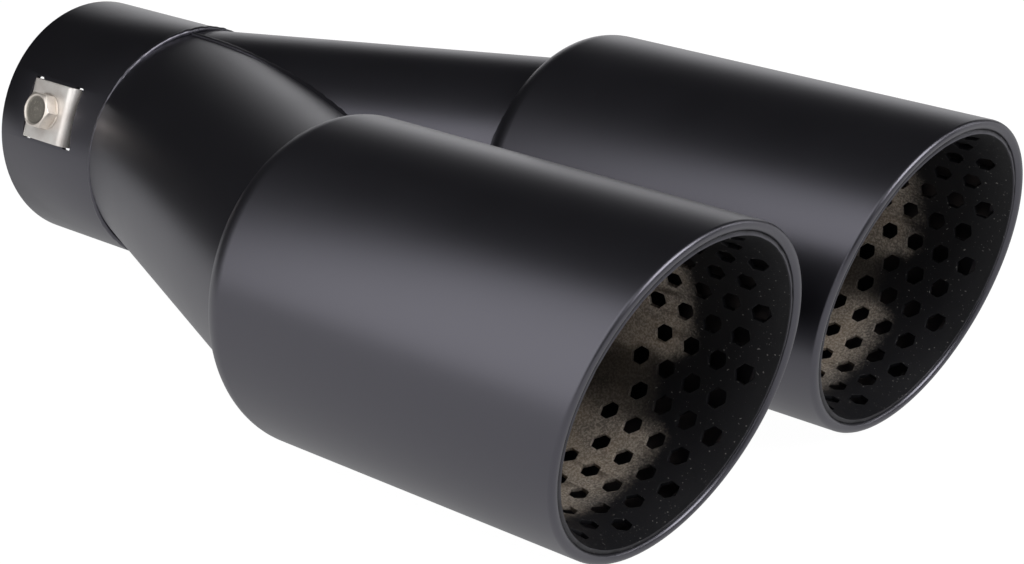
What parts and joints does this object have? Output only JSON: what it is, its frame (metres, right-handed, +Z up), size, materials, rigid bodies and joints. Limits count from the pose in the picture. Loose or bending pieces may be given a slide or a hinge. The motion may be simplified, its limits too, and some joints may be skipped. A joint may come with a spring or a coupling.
{
  "type": "exhaust tip",
  "caption": "Exhaust tip that splits a slip-on inlet collar into side-by-side branches, each ending in a slant-cut, roll-lipped outlet with a perforated liner; a bolted clamp grips the pipe.",
  "frame": {"origin": "centre of the inlet collar's mouth", "axes": "+X from the inlet towards the outlets, +Z up, +Y to the left; the clamp bolt is on the right"},
  "size_m": [0.2869, 0.1884, 0.089],
  "materials": {
    "black_paint": "satin black heat-resistant coating on stainless sheet",
    "liner_steel": "dark overspray at the mouth fading to raw, streaked stainless deeper in",
    "clamp_steel": "bare stainless sheet, folded edges",
    "bolt_steel": "plated steel fastener"
  },
  "bodies": {
    "root": {"inlet_collar": "black_paint", "left_branch_pipe": "black_paint", "right_branch_pipe": "black_paint", "collar_weld": "black_paint", "mitre_weld": "black_paint", "left_can_weld": "black_paint", "right_can_weld": "black_paint", "left_can": "black_paint", "right_can": "black_paint", "left_liner": "liner_steel", "right_liner": "liner_steel", "clamp_bridge": "clamp_steel", "clamp_bolt": "bolt_steel", "clamp_nut": "bolt_steel"}
  },
  "joints": []
}
